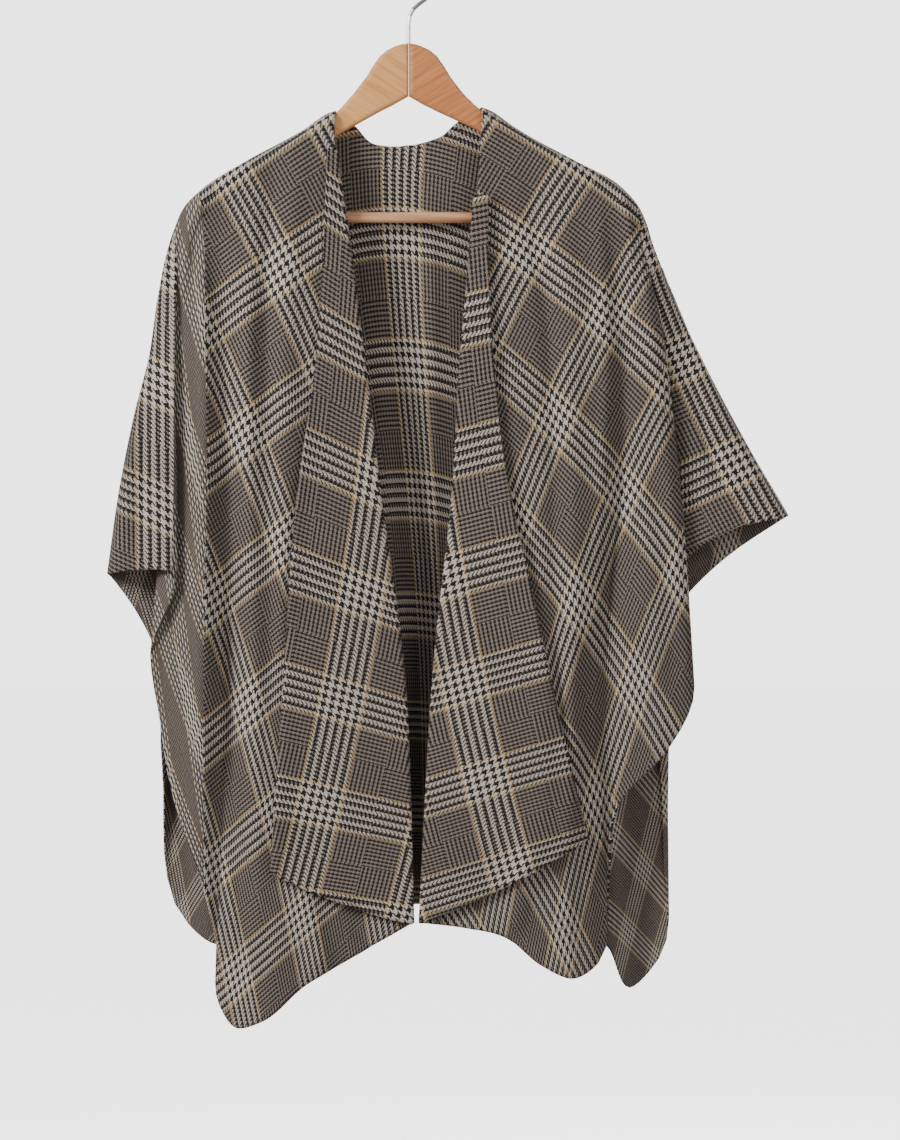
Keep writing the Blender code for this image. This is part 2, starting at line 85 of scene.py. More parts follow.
class Graph:
    """Short ways to add nodes to one material."""

    def __init__(self, name):
        self.material = bpy.data.materials.new(name)
        self.material.use_nodes = True
        self.tree = self.material.node_tree
        self.shader = self.tree.nodes["Principled BSDF"]

    def node(self, kind, **values):
        """A node of that kind, with its properties set."""
        made = self.tree.nodes.new(kind)
        for key, value in values.items():
            setattr(made, key, value)
        return made

    def feed(self, socket, value):
        """Give a socket a number, a colour or another node's output."""
        if isinstance(value, bpy.types.NodeSocket):
            self.tree.links.new(value, socket)
        else:
            socket.default_value = value

    def math(self, operation, a, b=0.0):
        """The output of a Math node."""
        made = self.node("ShaderNodeMath", operation=operation)
        self.feed(made.inputs[0], a)
        self.feed(made.inputs[1], b)
        return made.outputs[0]

    def mix(self, factor, a, b):
        """A colour between two others."""
        made = self.node("ShaderNodeMix", data_type="RGBA")
        self.feed(made.inputs["Factor"], factor)
        self.feed(made.inputs["A"], a)
        self.feed(made.inputs["B"], b)
        return made.outputs["Result"]


def wood_finish(name, slope, pale, dark, ring_scale):
    """Lacquered wood whose grain runs along a board that slopes by that angle."""
    wood = Graph(name)
    where = wood.node("ShaderNodeTexCoord").outputs["Object"]
    turned = wood.node("ShaderNodeMapping")
    turned.inputs["Rotation"].default_value = (0, math.radians(slope), 0)
    wood.feed(turned.inputs["Vector"], where)
    stretched = wood.node("ShaderNodeMapping")
    stretched.inputs["Scale"].default_value = (GRAIN_STRETCH, 1.0, 1.0)
    wood.feed(stretched.inputs["Vector"], turned.outputs[0])
    rings = wood.node("ShaderNodeTexNoise")
    rings.inputs["Scale"].default_value = ring_scale
    rings.inputs["Detail"].default_value = 6.0
    wood.feed(rings.inputs["Vector"], stretched.outputs[0])
    ramp = wood.node("ShaderNodeValToRGB")
    ramp.color_ramp.elements[0].position = 0.35
    ramp.color_ramp.elements[0].color = dark
    ramp.color_ramp.elements[1].position = 0.62
    ramp.color_ramp.elements[1].color = pale
    wood.feed(ramp.inputs[0], rings.outputs[0])
    wood.feed(wood.shader.inputs["Base Color"], ramp.outputs[0])
    wood.shader.inputs["Roughness"].default_value = 0.42
    wood.shader.inputs["Coat Weight"].default_value = 0.3
    wood.shader.inputs["Coat Roughness"].default_value = 0.25
    return wood.material


steel = Graph("steel_wire")
steel.shader.inputs["Base Color"].default_value = (0.42, 0.42, 0.43, 1.0)
steel.shader.inputs["Metallic"].default_value = 1.0
steel.shader.inputs["Roughness"].default_value = 0.28
for node, finish in (
    ("hanger_left_wing", wood_finish("left_wood", -WING_SLOPE, HONEY_PALE, HONEY_DARK, WING_RINGS)),
    ("hanger_right_wing", wood_finish("right_wood", WING_SLOPE, REDDISH_PALE, REDDISH_DARK, WING_RINGS)),
    ("hanger_bar", wood_finish("bar_wood", 0, BAR_PALE, BAR_DARK, BAR_RINGS)),
    ("hanger_hook", steel.material),
):
    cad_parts[node].material_slots[0].material = finish

# The two fronts: the front quarters of one rectangle of checked wool, about 2 mm thick, which lie
# over the wings and hang down to the hem. Past the wing's end each front falls as a loose sleeve.
# Nothing is sewn: the weight of the cloth holds it on the hanger.

# Sizes in millimetres on the drawing: a front view at full size with its origin at the top left
MM = 0.001
DRAWING_MIDDLE = 409.0
DRAWING_REST = -35.0
CLOTH_THICK = 2.0
SEAM_GAP = 0.3
FRONT_ROWS = 190
FRONT_COLUMN = 2.6

# The crest is where the cloth bends from front to back: along the wing, then down the sleeve's fold
CREST_ROUND = 10.0
CREST_STEPS = (0.0, 0.5, 1.2, 2.2, 3.5, 5.2, 7.4, 10.2, 14.0)
LEFT_CREST = (
    (335, 111.5),
    (320, 121),
    (290, 138.5),
    (247, 161.5),
    (201, 191),
    (186, 206),
    (173, 235),
    (159, 295),
    (150, 355),
    (135, 415),
    (120, 490),
    (108, 574),
)
RIGHT_CREST = (
    (482, 108),
    (500, 119),
    (530, 137.5),
    (575, 161.5),
    (620, 187),
    (636, 204),
    (654, 250),
    (671, 295),
    (699, 355),
    (730, 415),
    (755, 460),
    (788, 516),
)
NECK_HALF = 85.0

# One line of cloth for each fold: its place along the crest, its route down to the hem, and how
# its columns gather towards the next line
EVEN, NEAR_FIRST, NEAR_LAST = 0, 1, 2
Line = namedtuple("Line", "name crest across down forward gather")
LEFT_FRONT = (
    Line("roll", 0, (335, 351, 363, 377, 400, 411), (135, 273, 369, 490, 660, 922),
         (11, 16, 20, 24, 27, 27), EVEN),
    Line("lapel", 20, (318, 322, 335, 352, 362), (160, 300, 480, 650, 950), (12, 18, 25, 30, 30), EVEN),
    Line("chest", 48, (292, 288, 292, 300, 306), (190, 320, 480, 650, 983), (13, 20, 28, 33, 34), EVEN),
    Line("shoulder", 83, (262, 258, 262, 266, 262), (200, 320, 480, 650, 1019), (13, 22, 31, 36, 38), EVEN),
    Line("tail", 113, (240, 241, 246, 248, 238), (215, 320, 480, 650, 1025), (13, 22, 29, 30, 30), EVEN),
    Line("valley", 132, (217, 221, 229, 234, 221), (215, 320, 450, 640, 1004), (11, 14, 15, 14, 20), EVEN),
    Line("valley side", 144, (210, 213, 219, 222, 217), (220, 320, 470, 640, 942),
         (12, 18, 18, 16, 15), EVEN),
    Line("ridge", 156, (204, 206, 208, 205, 205), (225, 320, 480, 640, 888), (13, 26, 30, 30, 24), EVEN),
    Line("ridge side", 169, (192, 188, 186, 181, 172), (235, 320, 450, 600, 787),
         (12, 18, 18, 18, 18), EVEN),
    Line("under sleeve", 181, (184, 178, 175, 169, 161), (245, 320, 430, 560, 722),
         (11, 13, 13, 13, 14), EVEN),
    Line("turn", 192, (180, 173, 169, 162, 152), (250, 320, 410, 530, 655), (11, 14, 15, 15, 16), EVEN),
    Line("sleeve edge", 203, (177, 175.5, 175, 175, 173), (255, 320, 400, 480, 572),
         (12, 20, 26, 28, 30), EVEN),
    Line("sleeve", 231, (169, 163, 155, 147, 139), (290, 345, 410, 480, 570),
         (10, 16, 22, 25, 26), NEAR_LAST),
    Line("sleeve fold", 262, None, None, (10, 24), EVEN),
)
RIGHT_FRONT = (
    Line("roll", 0, (481, 478, 470, 463, 457, 438, 423), (134, 181, 288, 369, 480, 660, 921),
         (11, 13, 17, 20, 23, 26, 27), EVEN),
    Line("lapel", 20, (500, 506, 500, 486, 466), (160, 300, 480, 650, 926), (12, 18, 25, 29, 30), EVEN),
    Line("chest", 48, (528, 545, 540, 528, 505), (185, 320, 480, 650, 935), (12, 20, 27, 32, 33), EVEN),
    Line("shoulder", 82, (560, 578, 575, 562, 541), (200, 320, 480, 650, 963), (13, 22, 30, 34, 35), EVEN),
    Line("tail", 112, (590, 600, 596, 584, 572), (212, 320, 480, 640, 976), (13, 22, 28, 30, 32), EVEN),
    Line("valley", 130, (610, 619, 616, 599, 598), (218, 320, 470, 640, 961), (11, 14, 14, 13, 16), EVEN),
    Line("valley side", 141, (621, 630, 627, 612, 608), (225, 320, 460, 620, 885),
         (12, 18, 18, 15, 13), EVEN),
    Line("ridge inside", 151, (629, 638, 643, 640, 618), (232, 320, 450, 590, 802),
         (13, 24, 30, 32, 30), EVEN),
    Line("ridge", 161, (635, 648, 660, 669, 662), (240, 320, 430, 560, 754), (14, 28, 34, 36, 34), EVEN),
    Line("ridge outside", 172, (640, 655, 669, 682, 691), (248, 320, 430, 560, 700),
         (13, 24, 29, 31, 30), EVEN),
    Line("turn", 182, (644, 659, 672, 683, 687), (256, 320, 420, 530, 640), (11, 14, 16, 17, 18), EVEN),
    Line("sleeve edge", 196, (650, 665, 678, 685, 684), (268, 325, 400, 480, 562),
         (10, 14, 17, 18, 18), EVEN),
    Line("sleeve", 228, (664, 684, 700, 714, 727), (300, 355, 410, 465, 532),
         (10, 16, 20, 23, 25), NEAR_LAST),
    Line("sleeve fold", 262, None, None, (10, 22), EVEN),
)
FOLD_STATIONS = 24

# Smaller folds pressed into the cloth: down the page they pass through these places, each with its
# half width and its height, which is negative for a trough
Fold = namedtuple("Fold", "across down wide high")
LEFT_FOLDS = (
    Fold((298, 290, 286, 283), (150, 260, 420, 620), 14, 3.0),
    Fold((271, 268, 272, 274), (180, 330, 520, 760), 9, -3.0),
    Fold((252, 249, 254, 259), (230, 400, 640, 930), 8, 2.5),
    Fold((226, 232, 240, 243), (600, 720, 850, 990), 7, -4.0),
    Fold((196, 197, 195, 190), (270, 400, 560, 760), 5, -2.5),
    Fold((300, 318, 322), (880, 940, 975), 12, 5.0),
    Fold((352, 364, 372), (900, 930, 950), 14, -4.0),
    Fold((152, 148, 140), (320, 430, 560), 8, -2.5),
    Fold((206, 190, 182), (196, 235, 300), 5, 2.5),
)
RIGHT_FOLDS = (
    Fold((531, 549, 556, 556, 560), (200, 330, 480, 640, 820), 10, -3.5),
    Fold((560, 571, 572, 566), (190, 320, 520, 800), 12, 2.5),
    Fold((600, 608, 600, 590), (220, 380, 560, 800), 7, 2.5),
    Fold((586, 583, 580, 578), (640, 740, 850, 960), 8, -4.0),
    Fold((653, 664, 672), (470, 560, 690), 7, -3.0),
    Fold((675, 700, 722), (330, 410, 500), 9, -3.0),
    Fold((524, 520, 512), (850, 890, 930), 12, 4.0),
    Fold((620, 628, 634), (192, 225, 300), 4, 2.5),
)
FOLD_STRENGTH = 1.6
FOLD_OVERRUN = 0.12
FOLD_FADE = 0.3

# Where bands of the check cross, read off the drawing: their places, and the number of the warp
# band, counted outwards from the slit, and of the weft band, counted down from the crest
Crossing = namedtuple("Crossing", "across down warp weft")
LEFT_BODY_CHECK = (
    Crossing(335, 111.5, -0.09, 0.10),
    Crossing(290, 138.5, 0.37, 0.10),
    Crossing(247, 161.5, 0.79, 0.10),
    Crossing(201, 191, 1.27, 0.10),
    Crossing(280, 264, 1, 1),
    Crossing(211, 330, 2, 1),
    Crossing(332, 365, 1, 2),
    Crossing(245, 437, 2, 2),
    Crossing(277, 545, 2, 3),
    Crossing(221, 604, 3, 3),
    Crossing(248, 709, 3, 4),
    Crossing(302, 919, 3, 6),
    Crossing(240, 965, 4, 6),
)
LEFT_STRIP_CHECK = (
    Crossing(205, 300, 1.97, 0.74),
    Crossing(205, 522, 2.93, 2.27),
    Crossing(205, 699, 3.54, 3.59),
    Crossing(205, 880, 4.4, 5.1),
    Crossing(190, 300, 2.45, 1.05),
    Crossing(190, 522, 3.35, 2.6),
    Crossing(190, 699, 4, 4),
    Crossing(175, 300, 2.9, 1.4),
    Crossing(175, 522, 3.75, 3.0),
    Crossing(172, 780, 4.9, 4.9),
)
LEFT_SLEEVE_CHECK = (
    Crossing(159, 295, 2.27, 0.0),
    Crossing(150, 355, 2.80, -0.08),
    Crossing(135, 415, 3.34, -0.2),
    Crossing(120, 490, 4.01, -0.34),
    Crossing(108, 574, 4.75, -0.46),
    Crossing(161, 385, 3, 0),
    Crossing(161, 508, 4, 0),
    Crossing(161, 560, 4.45, 0),
    Crossing(175, 385, 2.97, 0.13),
    Crossing(175, 508, 3.95, 0.13),
    Crossing(175, 260, 1.9, 0.12),
)
RIGHT_BODY_CHECK = (
    Crossing(482, 108, 0, 0.10),
    Crossing(530, 137.5, 0.49, 0.10),
    Crossing(575, 161.5, 0.94, 0.10),
    Crossing(620, 187, 1.39, 0.10),
    Crossing(517, 243, 1, 1),
    Crossing(602, 316, 2, 1),
    Crossing(472, 348, 1, 2),
    Crossing(557, 421, 2, 2),
    Crossing(613, 506, 3, 2),
    Crossing(530, 528, 2, 3),
    Crossing(578, 590, 3, 3),
    Crossing(637, 680, 4, 3),
    Crossing(591, 804, 4, 4),
    Crossing(566, 930, 4, 5),
)
RIGHT_SLEEVE_CHECK = (
    Crossing(654, 250, 2.02, 0.0),
    Crossing(671, 295, 2.44, -0.05),
    Crossing(699, 355, 3.02, -0.12),
    Crossing(730, 415, 3.61, -0.14),
    Crossing(755, 460, 4.06, -0.14),
    Crossing(788, 516, 4.63, -0.14),
    Crossing(680, 353, 3, 0.03),
    Crossing(740, 466, 4, 0),
    Crossing(701, 541, 4.48, 0.63),
    Crossing(684, 562, 4.58, 0.85),
)
CREST_SPREAD = 0.6
CHECK_MIDDLE = (409, 500)
CHECK_REACH = (300, 400)
CHECK_CALM = 0.02
MANY_CROSSINGS = 20


def place(drawn):
    """The place in space, in metres, of a drawn point: across, down and forward."""
    across, down, forward = drawn
    return Vector(((across - DRAWING_MIDDLE) * MM, -forward * MM, (DRAWING_REST - down) * MM))


def through(knots, values):
    """A smooth curve through rows of values, one at each knot, as a function of the knot."""
    knots, values = np.array(knots, float), np.array(values, float)
    slopes = np.gradient(values, knots, axis=0)

    def at(where):
        i = int(np.clip(np.searchsorted(knots, where) - 1, 0, len(knots) - 2))
        width = knots[i + 1] - knots[i]
        s = (where - knots[i]) / width
        here = (1 + 2 * s) * (1 - s) ** 2 * values[i] + s * (1 - s) ** 2 * width * slopes[i]
        there = s * s * (3 - 2 * s) * values[i + 1] - s * s * (1 - s) * width * slopes[i + 1]
        return here + there

    return at


def lengths_along(points):
    """How far along its straight runs each point of a line stands."""
    steps = np.linalg.norm(np.diff(np.array(points, float), axis=0), axis=1)
    return np.concatenate([[0.0], np.cumsum(steps)])


def route(points):
    """A smooth curve through drawn points, as a function of the distance along it, and its length."""
    along = lengths_along([p[:2] for p in points])
    return through(along, points), along[-1]


def distances_to(points, line):
    """How far drawn points are from a line of straight runs."""
    nearest = np.full(points.shape[:-1], np.inf)
    for start, end in zip(line[:-1], line[1:]):
        run = end - start
        share = np.clip(((points - start) @ run) / (run @ run), 0, 1)
        away = np.linalg.norm(start + share[..., None] * run - points, axis=-1)
        nearest = np.minimum(nearest, away)
    return nearest


def fold_heights(points, folds):
    """The height that the small folds add at drawn points."""
    total = np.zeros(points.shape[:-1])
    for fold in folds:
        aside = points[..., 0] - np.interp(points[..., 1], fold.down, fold.across)
        length = fold.down[-1] - fold.down[0]
        share = (points[..., 1] - fold.down[0]) / length
        rising = np.clip((share + FOLD_OVERRUN) / FOLD_FADE, 0, 1)
        falling = np.clip((1 + FOLD_OVERRUN - share) / FOLD_FADE, 0, 1)
        fade = rising * falling
        fade = fade * fade * (3 - 2 * fade)
        total += FOLD_STRENGTH * fold.high * fade * np.exp(-((aside / fold.wide) ** 2))
    return total


class Panel:
    """A hanging panel of cloth: a grid of places, with rows down from the crest to the hem."""

    def __init__(self, lines, folds, top_at, ends, rows, column_width, side):
        self.lines, self.top_at, self.side = lines, top_at, side
        self.rows = rows
        routes = [self.line_route(line, ends) for line in lines]
        self.shares = [self.column_shares(i, column_width) for i in range(len(lines) - 1)]
        self.grid, self.crest_places = [], []
        last, far_rows = CREST_STEPS[-1], rows - len(CREST_STEPS)
        for r in range(rows):
            if r < len(CREST_STEPS):
                downs = [CREST_STEPS[r]] * len(routes)
            else:
                share = (r + 1 - len(CREST_STEPS)) / far_rows
                downs = [last + (length - last) * share for _, length in routes]
            self.grid.append(self.row_through([at(d) for (at, _), d in zip(routes, downs)], r))
        self.grid = np.array(self.grid)
        self.grid[..., 2] += fold_heights(self.grid[..., :2], folds)
        self.bend_over_crest()
        self.directions = self.outward()

    def line_route(self, line, ends):
        """The route of one line from the crest to the hem."""
        if line.across is None:
            far_end = ends[0] if line is self.lines[0] else ends[1]
            run = np.linspace(line.crest, far_end, FOLD_STATIONS)
            forward = np.interp(np.abs(run), np.abs([line.crest, far_end]), line.forward)
            return route([(*self.top_at(c), f) for c, f in zip(run, forward)])
        top = (*self.top_at(line.crest), line.forward[0])
        return route([top, *zip(line.across, line.down, line.forward)])

    def column_shares(self, i, column_width):
        """Where columns stand between one line and the next, as shares of the way."""
        line = self.lines[i]
        count = max(3, round((self.lines[i + 1].crest - line.crest) / column_width))
        t = np.arange(count) / count
        if line.gather == NEAR_FIRST:
            return t * t
        if line.gather == NEAR_LAST:
            return 1 - (1 - t) ** 2
        return t

    def row_through(self, points, r):
        """One row of the grid, through the lines' points at that height."""
        knots = lengths_along(points)
        across_row = through(knots, points)
        row = []
        for i, line in enumerate(self.lines[:-1]):
            following = self.lines[i + 1]
            for share in self.shares[i]:
                point = across_row(knots[i] + share * (knots[i + 1] - knots[i]))
                if r == 0:
                    crest = line.crest + share * (following.crest - line.crest)
                    point[:2] = self.top_at(crest)
                    self.crest_places.append(crest)
                row.append(point)
        row.append(points[-1])
        if r == 0:
            self.crest_places.append(self.lines[-1].crest)
        return row

    def bend_over_crest(self):
        """Bring the cloth from its depth round to the middle plane, on a round of its own."""
        top, places = self.grid[0, :, :2], np.array(self.crest_places)
        neck = 0.0 if self.side > 0 else NECK_HALF
        crests = [np.concatenate([top[places >= neck], self.grid[1:, -1, :2]])]
        if self.lines[0].across is None:
            crests.append(np.concatenate([self.grid[:0:-1, 0, :2], top[places <= -neck]]))
        off = np.min([distances_to(self.grid[..., :2], line) for line in crests], axis=0)
        bend = np.sqrt(1 - (1 - np.minimum(off / CREST_ROUND, 1.0)) ** 2)
        self.sunk = self.grid[..., 2] * (1 - bend)
        self.grid[..., 2] = self.side * (SEAM_GAP / 2 + self.grid[..., 2] * bend)

    def outward(self):
        """The direction out of the cloth at each place, level with the drawing along the crest."""
        down, along = np.gradient(self.grid, axis=0), np.gradient(self.grid, axis=1)
        out = np.cross(along, down)
        out /= np.linalg.norm(out, axis=2, keepdims=True)
        if out[self.rows // 2, :, 2].mean() * self.side < 0:
            out = -out
        neck = 0.0 if self.side > 0 else NECK_HALF
        on_crest = [(0, c) for c, where in enumerate(self.crest_places) if abs(where) >= neck]
        on_crest += [(r, self.grid.shape[1] - 1) for r in range(self.rows)]
        if self.lines[0].across is None:
            on_crest += [(r, 0) for r in range(self.rows)]
        for r, c in on_crest:
            out[r, c] = self.away_from_cloth(r, c)
        return out

    def away_from_cloth(self, r, c):
        """The direction off the crest in the drawing's plane, at one place on it."""
        last = self.grid.shape[1] - 1
        if r == 0:
            before = self.grid[0, c - 1] if c else self.grid[0, 0]
            after = self.grid[0, c + 1] if c < last else self.grid[1, last]
            if c == 0 and self.lines[0].across is None:
                before = self.grid[1, 0]
        else:
            before = self.grid[r - 1, c]
            after = self.grid[min(r + 1, self.rows - 1), c]
        run = after[:2] - before[:2]
        normal = np.array([run[1], -run[0]]) / np.linalg.norm(run)
        inside = self.grid[self.rows // 3, self.grid.shape[1] // 2, :2]
        if normal @ (inside - self.grid[r, c, :2]) > 0:
            normal = -normal
        return np.array([normal[0], normal[1], 0.0])

    def woven_places(self):
        """Drawn points for reading the check, spread out where the cloth turns over the crest."""
        return self.grid[..., :2] + self.directions[..., :2] * (CREST_SPREAD * self.sunk)[..., None]

    def column_of(self, name):
        """The column where the named line stands."""
        names = [line.name for line in self.lines]
        return sum(len(share) for share in self.shares[: names.index(name)])


def check_counts(points, crossings):
    """Warp and weft thread counts at drawn points, smoothly through the crossings read off."""

    def terms(xy):
        x = (xy[..., 0] - CHECK_MIDDLE[0]) / CHECK_REACH[0]
        y = (xy[..., 1] - CHECK_MIDDLE[1]) / CHECK_REACH[1]
        parts = [np.ones_like(x), x, y, x * x, x * y, y * y]
        if len(crossings) > MANY_CROSSINGS:
            parts += [x * x * y, x**3, x * y * y, y**3]
        return np.stack(parts, axis=-1)

    known = terms(np.array([(c.across, c.down) for c in crossings], float))
    wanted = np.array([(c.warp, c.weft) for c in crossings], float)
    calm = np.diag([0.0] * 3 + [CHECK_CALM] * (known.shape[1] - 3))
    factors = np.linalg.solve(known.T @ known + calm, known.T @ wanted)
    return terms(points) @ factors * THREADS_IN_REPEAT


def cloth_object(name, places, directions, maps):
    """A closed wall of wool about a grid of places. Each map of thread counts has its first column."""
    rows, columns = places.shape[:2]
    mesh = bpy.data.meshes.new(name)
    wall = bmesh.new()
    threads = wall.loops.layers.uv.new("threads")
    half = CLOTH_THICK / 2
    sheets = []
    for offset in (half, -half):
        moved = places + directions * offset
        sheets.append([[wall.verts.new(place(p)) for p in row] for row in moved])

    def add_face(corners):
        """One face from its corners' sheet, row and column, counted by its first column."""
        face = wall.faces.new([sheets[s][r][c] for s, r, c in corners])
        face.smooth = True
        first = min(c for _, _, c in corners)
        counts = next(counts for start, counts in reversed(maps) if start <= first)
        for loop, (_, r, c) in zip(face.loops, corners):
            loop[threads].uv = counts[r, c]

    for s in (0, 1):
        for r in range(rows - 1):
            for c in range(columns - 1):
                add_face([(s, r, c), (s, r + 1, c), (s, r + 1, c + 1), (s, r, c + 1)])
    rim = [(0, c) for c in range(columns)] + [(r, columns - 1) for r in range(1, rows)]
    rim += [(rows - 1, c) for c in range(columns - 2, -1, -1)] + [(r, 0) for r in range(rows - 2, 0, -1)]
    for (r, c), (r2, c2) in zip(rim, rim[1:] + rim[:1]):
        add_face([(0, r, c), (0, r2, c2), (1, r2, c2), (1, r, c)])
    bmesh.ops.recalc_face_normals(wall, faces=wall.faces)
    wall.to_mesh(mesh)
    wall.free()
    piece = bpy.data.objects.new(name, mesh)
    bpy.context.scene.collection.objects.link(piece)
    mesh.materials.append(wool.material)
    return piece


# The wool is a 2 and 2 twill whose threads change colour by count. A band has five dark and four
# light stripes of four threads, then light threads and a gold line, and between bands the threads
# change two by two.
THREADS_IN_REPEAT = 106
BAND_HALF = 18
GOLD_FROM = 20
GOLD_TO = 22
STRIPE_THREADS = 4
FINE_THREADS = 2
TWILL_OVER = 2
DARK = (0.006, 0.003, 0.0025, 1.0)
LIGHT = (0.58, 0.50, 0.42, 1.0)
TAUPE = (0.215, 0.17, 0.14, 1.0)
GOLD = (0.42, 0.27, 0.10, 1.0)
FLECK_SCALE = 420.0
FLECK_SHARE = 0.7
CLOUD_SCALE = 9.0
CLOUD_SHARE = 0.3
SHADE_FROM = 0.42
NAP_HIGH = 0.0008

wool = Graph("checked_wool")
counts = wool.node("ShaderNodeUVMap", uv_map="threads").outputs[0]
split = wool.node("ShaderNodeSeparateXYZ")
wool.feed(split.inputs[0], counts)


def thread_colour(count):
    """The colour of the thread with that count, by its place in the repeat."""
    wrapped = wool.node("ShaderNodeMath", operation="WRAP")
    wool.feed(wrapped.inputs[0], count)
    wrapped.inputs[1].default_value = THREADS_IN_REPEAT / 2
    wrapped.inputs[2].default_value = -THREADS_IN_REPEAT / 2
    where = wool.math("FLOOR", wrapped.outputs[0])
    off = wool.math("ABSOLUTE", wool.math("ADD", where, 0.5))
    in_band = wool.math("LESS_THAN", off, BAND_HALF)
    in_stripes = wool.math("FLOORED_MODULO", wool.math("ADD", where, BAND_HALF), 2 * STRIPE_THREADS)
    in_pairs = wool.math("FLOORED_MODULO", where, 2 * FINE_THREADS)
    band = wool.mix(wool.math("LESS_THAN", in_stripes, STRIPE_THREADS), LIGHT, DARK)
    fine = wool.mix(wool.math("LESS_THAN", in_pairs, FINE_THREADS), TAUPE, DARK)
    edge = wool.mix(wool.math("LESS_THAN", off, GOLD_FROM), GOLD, LIGHT)
    outside = wool.mix(wool.math("LESS_THAN", off, GOLD_TO), fine, edge)
    return wool.mix(in_band, outside, band)


warp, weft = split.outputs[0], split.outputs[1]
diagonal = wool.math("SUBTRACT", wool.math("FLOOR", warp), wool.math("FLOOR", weft))
warp_over = wool.math("LESS_THAN", wool.math("FLOORED_MODULO", diagonal, 2 * TWILL_OVER), TWILL_OVER)
woven = wool.mix(warp_over, thread_colour(weft), thread_colour(warp))
place_node = wool.node("ShaderNodeTexCoord")
fleck = wool.node("ShaderNodeTexNoise")
fleck.inputs["Scale"].default_value = FLECK_SCALE
fleck.inputs["Detail"].default_value = 3.0
wool.feed(fleck.inputs["Vector"], place_node.outputs["Object"])
cloudy = wool.node("ShaderNodeTexNoise")
cloudy.inputs["Scale"].default_value = CLOUD_SCALE
wool.feed(cloudy.inputs["Vector"], place_node.outputs["Object"])
shade = wool.math("ADD", wool.math("MULTIPLY", fleck.outputs[0], FLECK_SHARE), SHADE_FROM)
shade = wool.math("ADD", shade, wool.math("MULTIPLY", cloudy.outputs[0], CLOUD_SHARE))
scaled = wool.node("ShaderNodeVectorMath", operation="SCALE")
wool.feed(scaled.inputs[0], woven)
wool.feed(scaled.inputs["Scale"], shade)
wool.feed(wool.shader.inputs["Base Color"], scaled.outputs[0])
wool.shader.inputs["Roughness"].default_value = 0.92
wool.shader.inputs["Sheen Weight"].default_value = 0.04
wool.shader.inputs["Sheen Roughness"].default_value = 0.5
bump = wool.node("ShaderNodeBump")
bump.inputs["Strength"].default_value = 0.5
bump.inputs["Distance"].default_value = NAP_HIGH
wool.feed(bump.inputs["Height"], fleck.outputs[0])
wool.feed(wool.shader.inputs["Normal"], bump.outputs[0])

fronts = {}
for side, lines, folds, crest, checks, flat in (
    ("left", LEFT_FRONT, LEFT_FOLDS, LEFT_CREST,
     (("roll", LEFT_BODY_CHECK), ("ridge", LEFT_STRIP_CHECK), ("sleeve edge", LEFT_SLEEVE_CHECK)),
     (0.42, 0.62)),
    ("right", RIGHT_FRONT, RIGHT_FOLDS, RIGHT_CREST,
     (("roll", RIGHT_BODY_CHECK), ("turn", RIGHT_SLEEVE_CHECK)),
     (0.43, 0.60)),
):
    crest_at, crest_length = route(crest)
    front = Panel(lines, folds, crest_at, (None, crest_length), FRONT_ROWS, FRONT_COLUMN, 1)
    woven_at = front.woven_places()
    maps = [(front.column_of(first), check_counts(woven_at, crossings)) for first, crossings in checks]
    piece = cloth_object(f"shawl_{side}_front", front.grid, front.directions, maps)
    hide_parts(f"{side}_front_cloth", f"{side}_sleeve_drop")
    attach(piece, "root")
    fronts[side] = front

# The two lapels: the long front edges of the same wool, turned back by hand over the fronts. Each
# bends round a soft roll at the opening and then lies loose on its front, down to the hem.
LEFT_LAPEL_EDGE = ((328, 150), (326, 199), (323, 273), (316, 369), (300, 480), (285, 680), (272, 870))
RIGHT_LAPEL_EDGE = ((488, 195), (489, 298), (494, 369), (507, 480), (525, 560), (555, 700), (587, 838))
ROLL_RADIUS = 3.2
ROLL_STEP = 15
BESIDE_ROLL = 3
LAPEL_STAND_OFF = 8.0
LAPEL_BOW = 5.0
LAPEL_COLUMNS = 26
BEFORE_CLOTH = 500.0
LEFT_LAPEL_CHECK = (
    Crossing(326, 199, 0.35, 1),
    Crossing(318, 330, 0.32, 2),
    Crossing(306, 445, 0.32, 3),
    Crossing(294, 564, 0.38, 4),
    Crossing(285, 683, 0.48, 5),
    Crossing(276, 808, 0.63, 6),
    Crossing(378, 496, 1, 3),
    Crossing(361, 590, 1, 4),
    Crossing(345, 694, 1, 5),
    Crossing(317, 805, 1, 6),
    Crossing(298, 894, 1, 7),
)
RIGHT_LAPEL_CHECK = (
    Crossing(489, 298, 0.3, 0.85),
    Crossing(479, 316, 0.38, 1),
    Crossing(480, 441, 0.5, 2),
    Crossing(488, 557, 0.62, 3),
    Crossing(507, 480, 0.3, 2.2),
    Crossing(448, 573, 1, 3),
    Crossing(459, 693, 1, 4),
    Crossing(543, 654, 0.28, 4),
    Crossing(484, 780, 1, 5),
    Crossing(562, 757, 0.3, 5),
    Crossing(513, 860, 1, 6),
)


